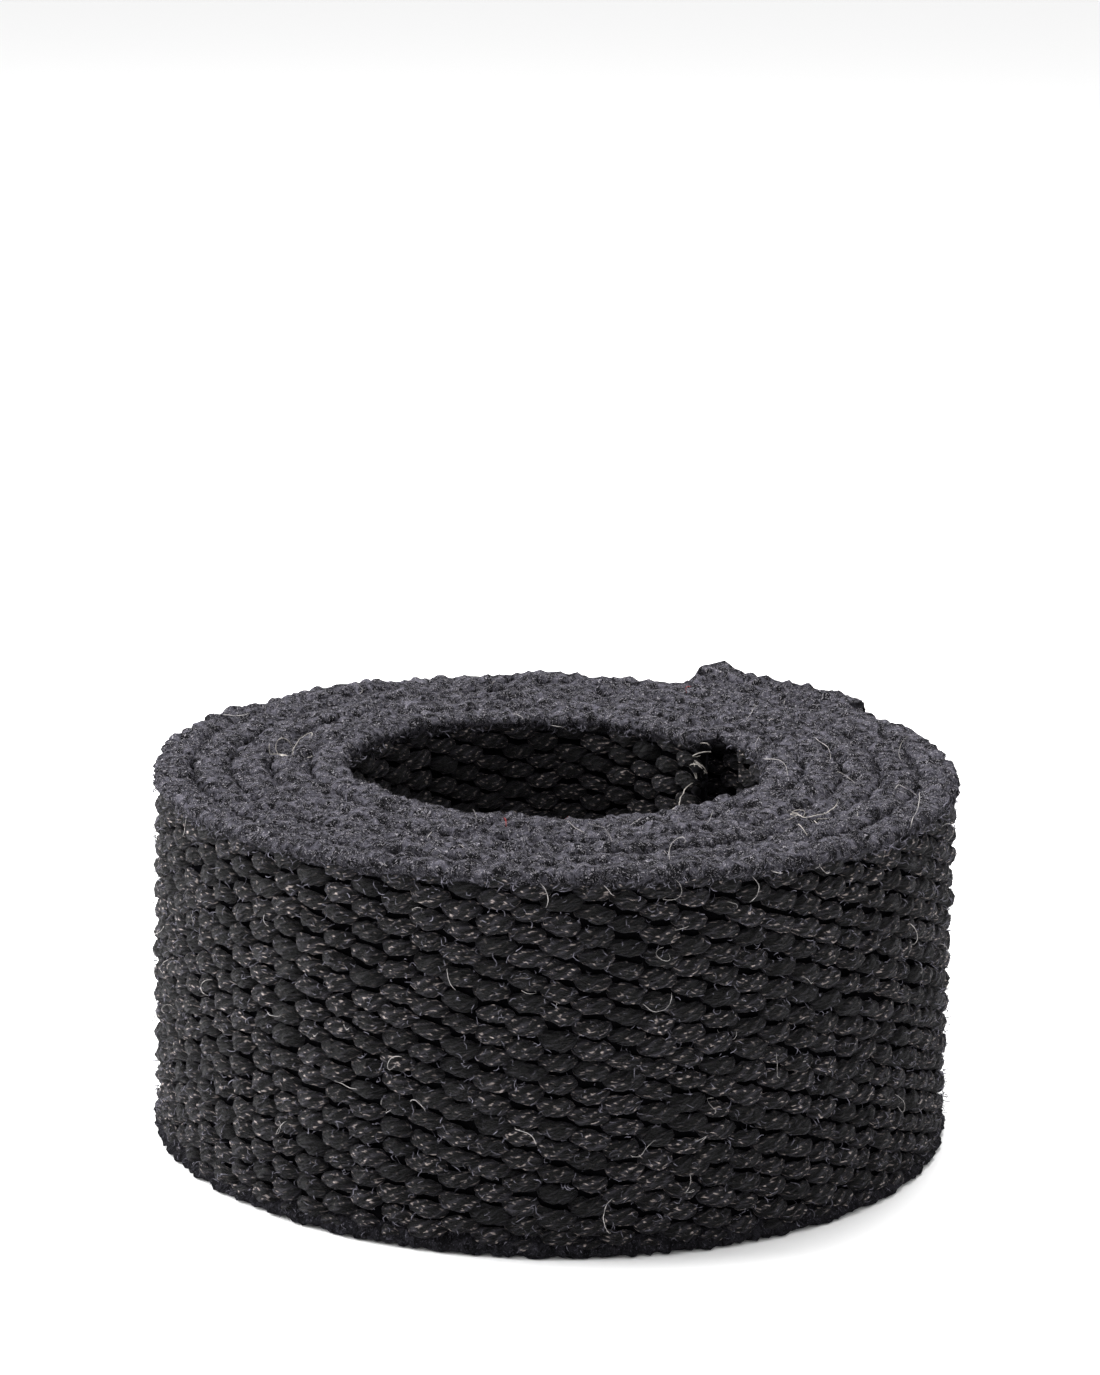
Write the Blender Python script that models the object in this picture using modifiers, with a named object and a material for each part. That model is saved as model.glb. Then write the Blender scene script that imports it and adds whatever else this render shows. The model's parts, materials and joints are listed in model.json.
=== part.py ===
"""A gait belt rolled up on its edge: one long strip of thick cotton webbing with a cam
buckle on its outer end.

Metres, +Z up. The roll's axis is vertical and the webbing stands on its lower edge. Compass
angles are used in plan: 0 is north (+Y), and they grow clockwise seen from above, so 90 is
east (+X). Following the strip from its outer end inwards the angle grows and the radius shrinks.
"""

import math

import bmesh
import bpy
from mathutils import Matrix, Vector

# Webbing
WEBBING_WIDTH = 0.0508
WEBBING_THICKNESS = 0.00506
SELVEDGE_ROUND = 0.0011
LAYER_GAP = 0.0003
ROLL_RADIUS = 0.0581
INNER_END_ANGLE = 1855.0
TAIL_ROOT_ANGLE = 75.0
STATIONS_PER_TURN = 48

# Buckle end: the webbing passes round the anchor bar and is sewn down on itself.
# Distances on this flap are counted along the strip from the anchor bar.
ANCHOR_ANGLE = 15.0
ANCHOR_BAR_RADIUS = 0.0020
LOOP_CLEARANCE = 0.0003
LOOP_STATIONS = 14
TAIL_STATIONS = 28
FLAP_STATIONS = 32
FLAP_LENGTH = 0.0335
FLAP_DROP_LENGTH = 0.0165
SPREAD_CLEARANCE = 0.0005
SPREAD_LENGTH = 0.0033
CORNER_RISE = 0.0024
CORNER_FADE_START = 0.0120
CORNER_FADE_END = 0.0200

# Buckle frame
WEBBING_GATHER = 0.0066
WEBBING_SIDE_CLEARANCE = 0.0003
FRAME_GAP = 0.0004
FRAME_SHEET = 0.0010
FRAME_RISE = 0.0004
PIN_SPACING = 0.0276
MOUTH_REACH = 0.0085
MOUTH_LIP = 0.0016
EYE_WALL = 0.0025
HOLE_CLEARANCE = 0.00008

# Cam lever
CAM_PIN_RADIUS = 0.0015
CAM_WALL = 0.0014
TOOTH_DEPTH = 0.0008
TOOTH_COUNT = 4
TOOTH_SPREAD = 72.0
TOOTH_LEAN = 0.3
THROAT_BITE = 0.00066
WINDOW_CLEARANCE = 0.0011
LEVER_SIDE_CLEARANCE = 0.0004
HANDLE_SHEET = 0.0016
HANDLE_LIFT = 0.0022

# Pins and spring
HEAD_RADIUS_EXTRA = 0.0009
HEAD_THICKNESS = 0.0005
HEAD_GAP = 0.0001
SPRING_WIRE_RADIUS = 0.00035
SPRING_TURNS = 6
SPRING_POINTS_PER_TURN = 12
SPRING_PITCH = 0.0011
SPRING_CLEARANCE = 0.0003
SPRING_LEG = 0.0075

# Sewing thread
THREAD_RADIUS = 0.00045
STITCH_LIFT = 0.0003
THREAD_POINT_SPACING = 0.0024
BOX_START = 0.0135
BOX_LENGTH = 0.0130
BOX_EDGE_MARGIN = 0.0062
BOX_INSET = 0.0016
OVERCAST_COUNT = 13
OVERCAST_LENGTH = 0.0044
OVERCAST_END_MARGIN = 0.0017
OVERCAST_EDGE_MARGIN = 0.0034

# What follows from those
PITCH = WEBBING_THICKNESS + LAYER_GAP
HALF_THICKNESS = WEBBING_THICKNESS / 2
LOOP_RADIUS = ANCHOR_BAR_RADIUS + LOOP_CLEARANCE + HALF_THICKNESS
FRAME_CLEAR_WIDTH = WEBBING_WIDTH - WEBBING_GATHER
FRAME_CENTRE_Z = FRAME_CLEAR_WIDTH / 2 + FRAME_SHEET + HEAD_GAP + HEAD_THICKNESS + FRAME_RISE
LOOP_WIDTH = FRAME_CLEAR_WIDTH - 2 * WEBBING_SIDE_CLEARANCE
LOOP_LOW = FRAME_CENTRE_Z - LOOP_WIDTH / 2
BAR_EYE_RADIUS = ANCHOR_BAR_RADIUS + EYE_WALL
CAM_EYE_RADIUS = CAM_PIN_RADIUS + EYE_WALL
HUB_RADIUS = CAM_PIN_RADIUS + CAM_WALL
TOOTH_RADIUS = HUB_RADIUS + TOOTH_DEPTH
THROAT = WEBBING_THICKNESS - THROAT_BITE
SPRING_ROOM = SPRING_TURNS * SPRING_PITCH + 2 * (SPRING_WIRE_RADIUS + SPRING_CLEARANCE)


def centre_radius(angle):
    """Radius of the webbing's middle at a compass angle, from the roll's axis."""
    return ROLL_RADIUS - HALF_THICKNESS - PITCH * angle / 360


def compass(angle, radius):
    turn = math.radians(angle)
    return Vector((radius * math.sin(turn), radius * math.cos(turn)))


def ease(value):
    value = min(max(value, 0.0), 1.0)
    return value * value * (3 - 2 * value)


ANCHOR = compass(ANCHOR_ANGLE, centre_radius(ANCHOR_ANGLE) + LOOP_RADIUS)
PLATE_Y = centre_radius(360) + HALF_THICKNESS + FRAME_GAP
PLATE_TOP = PLATE_Y + FRAME_SHEET
CAM_PIN = Vector((ANCHOR.x - PIN_SPACING, PLATE_TOP + THROAT + TOOTH_RADIUS))
LOOP_WEST = ANCHOR.x - LOOP_RADIUS - HALF_THICKNESS
HANDLE_TIP = LOOP_WEST - WEBBING_THICKNESS - WINDOW_CLEARANCE
TAIL_HINGE = compass(TAIL_ROOT_ANGLE, centre_radius(TAIL_ROOT_ANGLE) + HALF_THICKNESS)


def clear_scene():
    for obj in list(bpy.data.objects):
        bpy.data.objects.remove(obj, do_unlink=True)


def new_collection(name):
    made = bpy.data.collections.new(name)
    bpy.context.scene.collection.children.link(made)
    return made


def material(name, colour, roughness, metallic=0.0):
    made = bpy.data.materials.new(name)
    made.use_nodes = True
    shader = made.node_tree.nodes["Principled BSDF"]
    shader.inputs["Base Color"].default_value = (*colour, 1.0)
    shader.inputs["Roughness"].default_value = roughness
    shader.inputs["Metallic"].default_value = metallic
    return made


def empty(name, place, parent=None):
    """An empty on a vertical axis through this place in plan; what hangs under it turns about that axis."""
    made = bpy.data.objects.new(name, None)
    model.objects.link(made)
    made.parent = parent
    origin = Vector((place[0], place[1], 0.0))
    made["axis"] = origin
    made.location = origin - (Vector(parent["axis"]) if parent else Vector())
    return made


def add(name, mesh, parent, finish):
    """Puts a mesh drawn in the roll's own frame under an empty, with its origin on the empty's axis."""
    mesh.transform(Matrix.Translation(-Vector(parent["axis"])))
    mesh.name = name
    mesh.materials.clear()
    mesh.materials.append(finish)
    made = bpy.data.objects.new(name, mesh)
    made.parent = parent
    model.objects.link(made)
    return made


def mesh_from(bm):
    bmesh.ops.recalc_face_normals(bm, faces=bm.faces)
    mesh = bpy.data.meshes.new("piece")
    bm.to_mesh(mesh)
    bm.free()
    return mesh


def smooth(mesh, degrees=35):
    mesh.shade_smooth()
    mesh.set_sharp_from_angle(angle=math.radians(degrees))


def webbing(stations):
    """Lofts the webbing's section, a flat strip with rounded selvedges, through stations.

    Each station is (middle in plan, outward direction in plan, lower edge height, upper edge height).
    """
    bm = bmesh.new()
    flat = HALF_THICKNESS - SELVEDGE_ROUND
    rings = []
    for middle, outward, low, high in stations:
        corners = [
            (flat, low),
            (HALF_THICKNESS, low + SELVEDGE_ROUND),
            (HALF_THICKNESS, high - SELVEDGE_ROUND),
            (flat, high),
            (-flat, high),
            (-HALF_THICKNESS, high - SELVEDGE_ROUND),
            (-HALF_THICKNESS, low + SELVEDGE_ROUND),
            (-flat, low),
        ]
        ring = []
        for depth, height in corners:
            spot = middle + outward * depth
            ring.append(bm.verts.new((spot.x, spot.y, height)))
        rings.append(ring)
    for near, far in zip(rings, rings[1:]):
        for index in range(len(near)):
            after = (index + 1) % len(near)
            bm.faces.new((near[index], near[after], far[after], far[index]))
    bm.faces.new(rings[0])
    bm.faces.new(reversed(rings[-1]))
    bmesh.ops.triangulate(bm, faces=[face for face in bm.faces if len(face.verts) > 4])
    mesh = mesh_from(bm)
    smooth(mesh)
    return mesh


def spiral_stations():
    """Stations along the roll at full width, from the tail's root to the inner end."""
    sweep = INNER_END_ANGLE - TAIL_ROOT_ANGLE
    count = round(sweep / 360 * STATIONS_PER_TURN)
    stations = []
    for step in range(count + 1):
        angle = TAIL_ROOT_ANGLE + sweep * step / count
        outward = compass(angle, 1.0)
        stations.append((outward * centre_radius(angle), outward, 0.0, WEBBING_WIDTH))
    return stations


def past_anchor(distance):
    """Compass angle of a place on the strip, at a distance from the anchor bar."""
    return ANCHOR_ANGLE + math.degrees(distance / centre_radius(ANCHOR_ANGLE))


def distance_from_anchor(angle):
    return math.radians(angle - ANCHOR_ANGLE) * centre_radius(ANCHOR_ANGLE)


def spread(angle):
    """How far the webbing has spread from its gathered width between the cheeks, from 0 to 1."""
    return ease((distance_from_anchor(angle) - BAR_EYE_RADIUS - SPREAD_CLEARANCE) / SPREAD_LENGTH)


def flap_radius(angle):
    """Middle of the folded-back flap: it leaves the loop high and settles onto the strip below it."""
    drop = ease(distance_from_anchor(angle) / FLAP_DROP_LENGTH)
    return centre_radius(angle) + 2 * LOOP_RADIUS + (PITCH - 2 * LOOP_RADIUS) * drop


def strip_edges(angle, rise=0.0):
    """Lower and upper edge heights of the webbing near the frame; the wide part may ride up."""
    share = spread(angle)
    low = LOOP_LOW + (rise - LOOP_LOW) * share
    return low, low + LOOP_WIDTH + (WEBBING_WIDTH - LOOP_WIDTH) * share


def corner_rise(angle):
    """The flap is sewn down a little askew, so its corner rides up where it leaves the frame."""
    past = distance_from_anchor(angle) - CORNER_FADE_START
    return CORNER_RISE * (1 - ease(past / (CORNER_FADE_END - CORNER_FADE_START)))


def flap_outward(angle):
    step = 0.05
    ahead = compass(angle + step, flap_radius(angle + step))
    behind = compass(angle - step, flap_radius(angle - step))
    along = ahead - behind
    return Vector((-along.y, along.x)).normalized()


def tail_stations():
    """The strip from the tail's root to the anchor, round the anchor bar and back over itself."""
    stations = []
    root = TAIL_ROOT_ANGLE - math.degrees(LAYER_GAP / centre_radius(TAIL_ROOT_ANGLE))
    for step in range(TAIL_STATIONS + 1):
        angle = root + (ANCHOR_ANGLE - root) * step / TAIL_STATIONS
        outward = compass(angle, 1.0)
        stations.append((outward * centre_radius(angle), outward, *strip_edges(angle)))
    for step in range(1, LOOP_STATIONS):
        inward = compass(ANCHOR_ANGLE + 180 * step / LOOP_STATIONS, 1.0)
        stations.append((ANCHOR - inward * LOOP_RADIUS, inward, LOOP_LOW, LOOP_LOW + LOOP_WIDTH))
    for step in range(FLAP_STATIONS + 1):
        angle = past_anchor(FLAP_LENGTH * step / FLAP_STATIONS)
        edges = strip_edges(angle, corner_rise(angle))
        stations.append((compass(angle, flap_radius(angle)), -flap_outward(angle), *edges))
    return stations


def on_flap(angle, height, lift=0.0):
    """A point of thread lying on the flap's outer face."""
    depth = HALF_THICKNESS + STITCH_LIFT + THREAD_RADIUS + lift
    spot = compass(angle, flap_radius(angle)) + flap_outward(angle) * depth
    return Vector((spot.x, spot.y, height))


def box_seam_route():
    """One thread round a box, then corner to corner across it both ways, passing over itself."""
    near, far = BOX_START, BOX_START + BOX_LENGTH
    low = BOX_EDGE_MARGIN
    high = WEBBING_WIDTH - BOX_EDGE_MARGIN
    legs = [
        ((near, low + BOX_INSET), (near, high)),
        ((near, high), (far, high)),
        ((far, high), (far, low)),
        ((far, low), (near + BOX_INSET, low)),
        ((near + BOX_INSET, low), (far - BOX_INSET, high - BOX_INSET)),
        ((far - BOX_INSET, high - BOX_INSET), (far - BOX_INSET, low + BOX_INSET)),
        ((far - BOX_INSET, low + BOX_INSET), (near + BOX_INSET, high - BOX_INSET)),
    ]
    points = []
    for index, (start, end) in enumerate(legs):
        count = max(2, round(math.dist(start, end) / THREAD_POINT_SPACING))
        for step in range(count):
            share = (step + 0.5) / count
            distance = start[0] + (end[0] - start[0]) * share
            height = start[1] + (end[1] - start[1]) * share
            hump = 0.0
            if index == len(legs) - 1:
                hump = 3 * THREAD_RADIUS * (1 - ease(abs(share - 0.5) / 0.16))
            points.append(on_flap(past_anchor(distance), height, hump))
    return points


def overcast_route(place):
    """One thread zigzagging up a raw end; place turns (distance from the end, height) into a point."""
    corners = []
    for index in range(OVERCAST_COUNT):
        share = index / (OVERCAST_COUNT - 1)
        height = OVERCAST_EDGE_MARGIN + (WEBBING_WIDTH - 2 * OVERCAST_EDGE_MARGIN) * share
        corners.append(place(OVERCAST_END_MARGIN + OVERCAST_LENGTH * (index % 2), height))
    route = []
    for start, end in zip(corners, corners[1:]):
        route += [start.lerp(end, share) for share in (0.12, 0.5, 0.88)]
    return route


def inside_roll(distance, height):
    """A point of thread on the hollow's wall, at a distance back from the strip's inner end."""
    angle = INNER_END_ANGLE - math.degrees(distance / centre_radius(INNER_END_ANGLE))
    spot = compass(angle, centre_radius(angle) - HALF_THICKNESS - STITCH_LIFT - THREAD_RADIUS)
    return Vector((spot.x, spot.y, height))


def on_flap_end(distance, height):
    return on_flap(past_anchor(FLAP_LENGTH - distance), height)


def cutter(name, place, radius, low, high):
    """An upright cylinder that only cuts: it isn't part of the object."""
    bpy.ops.mesh.primitive_cylinder_add(
        vertices=32, radius=radius, depth=high - low, location=(place[0], place[1], (low + high) / 2)
    )
    made = bpy.context.object
    made.name = name
    for collection in list(made.users_collection):
        collection.objects.unlink(made)
    cutters.objects.link(made)
    made.parent = roll_axis
    made.hide_render = True
    made.display_type = "WIRE"
    return made


def flat_outline(points, low, high):
    """A flat outline in plan, extruded upwards between two heights, as a mesh in the roll's frame."""
    curve = bpy.data.curves.new("outline", "CURVE")
    curve.dimensions = "2D"
    curve.fill_mode = "BOTH"
    curve.extrude = (high - low) / 2
    spline = curve.splines.new("POLY")
    spline.points.add(len(points) - 1)
    for point, spot in zip(spline.points, points):
        point.co = (spot[0], spot[1], 0.0, 1.0)
    spline.use_cyclic_u = True
    guide = bpy.data.objects.new("outline", curve)
    guide.location.z = (low + high) / 2
    return solid_of(guide)


def solid_of(guide):
    """Turns a curve object into a closed mesh in the roll's frame and removes the curve."""
    bpy.context.scene.collection.objects.link(guide)
    bpy.context.view_layer.update()
    evaluated = guide.evaluated_get(bpy.context.evaluated_depsgraph_get())
    mesh = bpy.data.meshes.new_from_object(evaluated)
    mesh.transform(guide.matrix_world)
    bm = bmesh.new()
    bm.from_mesh(mesh)
    bmesh.ops.remove_doubles(bm, verts=bm.verts, dist=1e-6)
    bmesh.ops.recalc_face_normals(bm, faces=bm.faces)
    bm.to_mesh(mesh)
    bm.free()
    bpy.data.objects.remove(guide, do_unlink=True)
    return mesh


def cut(target, tool):
    modifier = target.modifiers.new(tool.name, "BOOLEAN")
    modifier.operation = "DIFFERENCE"
    modifier.solver = "EXACT"
    modifier.object = tool


def block_cutter(name, points, low, high):
    """A cutter with a flat outline in plan."""
    made = bpy.data.objects.new(name, flat_outline(points, low, high))
    cutters.objects.link(made)
    made.parent = roll_axis
    made.hide_render = True
    made.display_type = "WIRE"
    return made


def around(centre, radius, angle):
    """A point round a centre at an ordinary angle in degrees, counted from +X towards +Y."""
    turn = math.radians(angle)
    return centre[0] + radius * math.cos(turn), centre[1] + radius * math.sin(turn)


def arc(centre, radius, first, last, count):
    return [around(centre, radius, first + (last - first) * step / count) for step in range(count + 1)]


def buckle_frame(parent):
    """A stamped steel channel: a base plate against the roll and two cheeks for the bar and pin."""
    inner_low = FRAME_CENTRE_Z - FRAME_CLEAR_WIDTH / 2
    inner_high = FRAME_CENTRE_Z + FRAME_CLEAR_WIDTH / 2
    outer_low = inner_low - FRAME_SHEET
    outer_high = inner_high + FRAME_SHEET
    plate_east = LOOP_WEST - 2 * LOOP_CLEARANCE
    mouth = CAM_PIN.x - MOUTH_REACH
    lip = mouth - MOUTH_LIP

    outline = [(lip, PLATE_Y), (plate_east, PLATE_Y)]
    outline += arc(ANCHOR, BAR_EYE_RADIUS, -100, 95, 14)
    outline += arc(CAM_PIN, CAM_EYE_RADIUS, 80, 160, 8)
    outline += [(mouth, PLATE_TOP + THROAT), (mouth, PLATE_TOP), (lip, PLATE_TOP)]
    beyond = 2 * (BAR_EYE_RADIUS + CAM_EYE_RADIUS)
    channel = [
        (lip - beyond, PLATE_TOP),
        (plate_east, PLATE_TOP),
        (plate_east, PLATE_Y - beyond),
        (ANCHOR.x + beyond, PLATE_Y - beyond),
        (ANCHOR.x + beyond, ANCHOR.y + beyond),
        (lip - beyond, ANCHOR.y + beyond),
    ]
    frame = add("buckle_frame", flat_outline(outline, outer_low, outer_high), parent, nickel)
    cut(frame, block_cutter("channel", channel, inner_low, inner_high))
    bar_hole = ANCHOR_BAR_RADIUS + HOLE_CLEARANCE
    cam_hole = CAM_PIN_RADIUS + HOLE_CLEARANCE
    cut(frame, cutter("bar_hole", ANCHOR, bar_hole, outer_low - EYE_WALL, outer_high + EYE_WALL))
    cut(frame, cutter("cam_hole", CAM_PIN, cam_hole, outer_low - EYE_WALL, outer_high + EYE_WALL))
    return frame


def headed_pin(name, place, radius, parent, finish):
    """A turned pin through both cheeks, riveted over into a thin head at each end."""
    reach = FRAME_CLEAR_WIDTH / 2 + FRAME_SHEET + HEAD_GAP
    head = radius + HEAD_RADIUS_EXTRA
    profile = [
        (0.0, reach + HEAD_THICKNESS),
        (head, reach + HEAD_THICKNESS),
        (head, reach),
        (radius, reach),
        (radius, -reach),
        (head, -reach),
        (head, -reach - HEAD_THICKNESS),
        (0.0, -reach - HEAD_THICKNESS),
    ]
    mesh = bpy.data.meshes.new(name)
    edges = [(i, i + 1) for i in range(len(profile) - 1)]
    mesh.from_pydata([(x, 0.0, z) for x, z in profile], edges, [])
    mesh.transform(Matrix.Translation((place[0], place[1], FRAME_CENTRE_Z)))
    pin = add(name, mesh, parent, finish)
    turn = bpy.data.objects.new(name + "_axis", None)
    turn.parent = parent
    turn.location = Vector((place[0], place[1], FRAME_CENTRE_Z)) - Vector(parent["axis"])
    model.objects.link(turn)
    screw = pin.modifiers.new("turned", "SCREW")
    screw.object = turn
    screw.axis = "Z"
    screw.steps = 32
    screw.render_steps = 32
    screw.use_merge_vertices = True
    screw.merge_threshold = 0.00001
    screw.use_smooth_shade = True
    return pin


def cam_outline():
    """The lever in plan: a hub, saw-toothed towards the base plate, and a thumb plate from its top."""
    top = CAM_PIN.y + HUB_RADIUS
    first = 270 - TOOTH_SPREAD / 2
    tooth = TOOTH_SPREAD / TOOTH_COUNT
    under = math.degrees(math.asin((HUB_RADIUS - HANDLE_SHEET) / HUB_RADIUS))
    points = arc(CAM_PIN, HUB_RADIUS, first + TOOTH_SPREAD - 360, under, 8)
    points += [
        (HANDLE_TIP, top - HANDLE_SHEET + HANDLE_LIFT),
        (HANDLE_TIP, top + HANDLE_LIFT),
        (CAM_PIN.x + HUB_RADIUS, top),
    ]
    points += arc(CAM_PIN, HUB_RADIUS, 90, first, 14)
    for index in range(TOOTH_COUNT):
        points.append(around(CAM_PIN, TOOTH_RADIUS, first + tooth * (index + TOOTH_LEAN)))
        if index < TOOTH_COUNT - 1:
            points.append(around(CAM_PIN, HUB_RADIUS, first + tooth * (index + 1)))
    return points


def cam_lever(parent):
    """A toothed cam as wide as the frame, cut away at one end to make room for the spring."""
    cheek = FRAME_CENTRE_Z - FRAME_CLEAR_WIDTH / 2
    low = cheek + LEVER_SIDE_CLEARANCE
    high = cheek + FRAME_CLEAR_WIDTH - LEVER_SIDE_CLEARANCE
    lever = add("cam_lever", flat_outline(cam_outline(), low, high), parent, nickel_lever)
    cam_hole = CAM_PIN_RADIUS + HOLE_CLEARANCE
    cut(lever, cutter("lever_hole", CAM_PIN, cam_hole, low - EYE_WALL, high + EYE_WALL))
    room = TOOTH_RADIUS + SPRING_CLEARANCE
    cut(lever, cutter("spring_room", CAM_PIN, room, low - EYE_WALL, cheek + SPRING_ROOM))
    return lever


def cam_spring_route():
    """A torsion spring round the cam pin, from the base plate to the underside of the thumb plate."""
    coil = CAM_PIN_RADIUS + SPRING_CLEARANCE + SPRING_WIRE_RADIUS
    start = FRAME_CENTRE_Z - FRAME_CLEAR_WIDTH / 2 + SPRING_CLEARANCE + SPRING_WIRE_RADIUS
    sweep = 360.0 * (SPRING_TURNS - 1) + 160.0
    count = round(SPRING_POINTS_PER_TURN * sweep / 360)
    foot = PLATE_TOP + SPRING_CLEARANCE + SPRING_WIRE_RADIUS
    points = [Vector((CAM_PIN.x - coil, foot, start))]
    for step in range(count + 1):
        share = step / count
        x, y = around(CAM_PIN, coil, 180.0 - sweep * share)
        points.append(Vector((x, y, start + SPRING_PITCH * sweep / 360 * share)))
    rise = HANDLE_LIFT * SPRING_LEG / (HANDLE_TIP - CAM_PIN.x)
    underside = CAM_PIN.y + HUB_RADIUS - HANDLE_SHEET + rise
    tip = underside - 2 * SPRING_CLEARANCE - SPRING_WIRE_RADIUS
    points.append(Vector((CAM_PIN.x + SPRING_LEG, tip, points[-1].z)))
    return points


def wire(name, points, radius, parent, finish):
    curve = bpy.data.curves.new(name, "CURVE")
    curve.dimensions = "3D"
    curve.bevel_depth = radius
    curve.bevel_resolution = 2
    curve.use_fill_caps = True
    spline = curve.splines.new("POLY")
    spline.points.add(len(points) - 1)
    origin = Vector(parent["axis"])
    for point, spot in zip(spline.points, points):
        point.co = (*(spot - origin), 1.0)
    curve.materials.append(finish)
    made = bpy.data.objects.new(name, curve)
    made.parent = parent
    model.objects.link(made)
    return made


clear_scene()
model = new_collection("gait_belt")
cutters = new_collection("cutters")

cotton = material("cotton_webbing", (0.020, 0.021, 0.025), 0.95)
cotton_tail = material("cotton_webbing_tail", (0.020, 0.021, 0.025), 0.95)
box_thread = material("box_stitch_thread", (0.025, 0.025, 0.028), 0.7)
inner_thread = material("inner_end_thread", (0.30, 0.29, 0.28), 0.8)
flap_thread = material("flap_end_thread", (0.06, 0.06, 0.065), 0.8)
nickel = material("nickel_plate_frame", (0.60, 0.59, 0.57), 0.30, 1.0)
nickel_lever = material("nickel_plate_lever", (0.62, 0.61, 0.58), 0.26, 1.0)
bar_steel = material("anchor_bar_steel", (0.55, 0.55, 0.54), 0.35, 1.0)
pin_steel = material("cam_pin_steel", (0.52, 0.52, 0.52), 0.35, 1.0)
spring_steel = material("spring_steel", (0.30, 0.30, 0.31), 0.40, 1.0)

roll_axis = empty("roll_axis", (0.0, 0.0))
tail_axis = empty("tail_axis", TAIL_HINGE, roll_axis)
anchor_axis = empty("anchor_axis", ANCHOR, tail_axis)
cam_axis = empty("cam_axis", CAM_PIN, anchor_axis)

add("strap_roll", webbing(spiral_stations()), roll_axis, cotton)
wire("inner_end_overcast", overcast_route(inside_roll), THREAD_RADIUS, roll_axis, inner_thread)
add("strap_tail", webbing(tail_stations()), tail_axis, cotton_tail)
wire("flap_box_stitch", box_seam_route(), THREAD_RADIUS, tail_axis, box_thread)
wire("flap_end_overcast", overcast_route(on_flap_end), THREAD_RADIUS, tail_axis, flap_thread)
buckle_frame(anchor_axis)
headed_pin("anchor_bar", ANCHOR, ANCHOR_BAR_RADIUS, anchor_axis, bar_steel)
headed_pin("cam_pin", CAM_PIN, CAM_PIN_RADIUS, anchor_axis, pin_steel)
wire("cam_spring", cam_spring_route(), SPRING_WIRE_RADIUS, anchor_axis, spring_steel)
cam_lever(cam_axis)


def centre_on_origin(root):
    """Moves the whole belt so that the middle of its footprint is on the origin."""
    bpy.context.view_layer.update()
    graph = bpy.context.evaluated_depsgraph_get()
    spots = []
    for obj in model.objects:
        if obj.type in {"MESH", "CURVE"}:
            solid = obj.evaluated_get(graph)
            shape = solid.to_mesh()
            spots += [solid.matrix_world @ vertex.co for vertex in shape.vertices]
            solid.to_mesh_clear()
    for axis in range(2):
        values = [spot[axis] for spot in spots]
        root.location[axis] -= (min(values) + max(values)) / 2


centre_on_origin(roll_axis)
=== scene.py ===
"""A gait belt rolled up on its edge: thick, coarse cotton webbing, with a cam buckle on its
outer end.

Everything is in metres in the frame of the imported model, +Z up. Angles in plan are compass
angles about the roll's axis: 0 is north (+Y), 90 is east (+X). Followed inwards from its outer
end, the webbing's angle grows and its radius shrinks.
"""

import json
import math

import bpy
import numpy as np
from mathutils import Euler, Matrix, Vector, noise


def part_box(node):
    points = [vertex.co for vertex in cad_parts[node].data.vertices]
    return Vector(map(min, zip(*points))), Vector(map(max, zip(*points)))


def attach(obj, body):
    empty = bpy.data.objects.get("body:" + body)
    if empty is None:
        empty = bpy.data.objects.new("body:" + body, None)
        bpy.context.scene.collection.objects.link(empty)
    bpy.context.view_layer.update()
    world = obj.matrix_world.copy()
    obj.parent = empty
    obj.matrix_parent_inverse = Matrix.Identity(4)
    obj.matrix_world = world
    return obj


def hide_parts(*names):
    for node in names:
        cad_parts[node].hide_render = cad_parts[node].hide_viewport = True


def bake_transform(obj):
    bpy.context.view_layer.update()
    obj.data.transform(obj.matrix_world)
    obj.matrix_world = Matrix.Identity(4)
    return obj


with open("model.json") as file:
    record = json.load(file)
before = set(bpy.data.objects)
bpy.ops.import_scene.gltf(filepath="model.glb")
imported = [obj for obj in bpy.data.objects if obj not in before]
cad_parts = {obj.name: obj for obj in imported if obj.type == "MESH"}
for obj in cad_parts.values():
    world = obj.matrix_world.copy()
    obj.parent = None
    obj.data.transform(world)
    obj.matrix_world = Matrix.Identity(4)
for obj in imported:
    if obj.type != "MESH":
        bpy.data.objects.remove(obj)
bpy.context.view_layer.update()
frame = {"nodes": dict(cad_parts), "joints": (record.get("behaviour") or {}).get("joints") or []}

# The webbing of the roll.
# One strip of two-inch cotton webbing, woven narrow and very thick, is wound on its edge in
# five layers round an open hollow. Its edges are felted from wear and a little uneven.
WEBBING_THICKNESS = 0.00506
LAYER_GAP = 0.0003
TAIL_ROOT_ANGLE = 75.0
ANCHOR_ANGLE = 15.0
INNER_END_ANGLE = 1855.0
STATION_SPACING = 0.0006
EDGE_ROUND = 0.0015
EDGE_SWELL = 0.0004
EDGE_RISE = 0.0001
FELT_START = 1.6 * EDGE_ROUND
FELT_FADE = 1.2 * EDGE_ROUND
YARN_RECESS = 0.0016
PICK_SPACING = 0.0041
PICK_BULGE = 0.00015
TUFT_SIZE, TUFT_HEIGHT = 0.0026, 0.00050
PIT_SIZE, PIT_DEPTH = 0.0011, 0.00075
WAVE_SIZE, WAVE_HEIGHT = 0.017, 0.00050
CUT_LENGTH, CUT_TAPER = 0.0013, 0.0007
MOST_TURN = 1.5
FACE_MARGIN = 0.0012
CORNER_SHARES = (-0.4, 0.0, 0.25, 0.5, 0.75, 1.0)
PICK_LEVEL = 0.6
SUNK_SHARE = 0.2
METRES_TO_MM = (1000.0, 1000.0, 1000.0)

half_thickness = WEBBING_THICKNESS / 2
pitch = WEBBING_THICKNESS + LAYER_GAP
roll_low, roll_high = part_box("strap_roll")
webbing_width = roll_high.z - roll_low.z


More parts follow.
